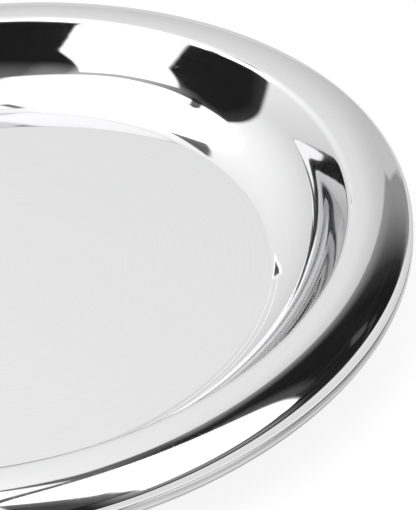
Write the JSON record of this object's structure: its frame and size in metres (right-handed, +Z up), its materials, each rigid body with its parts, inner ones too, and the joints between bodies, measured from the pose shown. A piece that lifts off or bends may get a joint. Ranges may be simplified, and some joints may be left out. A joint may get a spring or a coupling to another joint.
{
  "type": "round serving tray",
  "caption": "Round serving tray of mirror-polished steel: flat floor, concave wall, broad rounded lip and a rolled rim closed around a stiffening wire.",
  "frame": {"origin": "middle of the underside of the floor, on the surface that the tray stands on", "axes": "+Z up along the axis of the round tray; X and Y lie in the surface that it stands on"},
  "size_m": [0.35, 0.35, 0.03],
  "materials": {
    "polished_steel": "mirror-polished stainless steel",
    "drawn_wire": "drawn steel wire, satin"
  },
  "bodies": {
    "root": {"dish": "polished_steel", "rim_wire": "drawn_wire"}
  },
  "joints": []
}
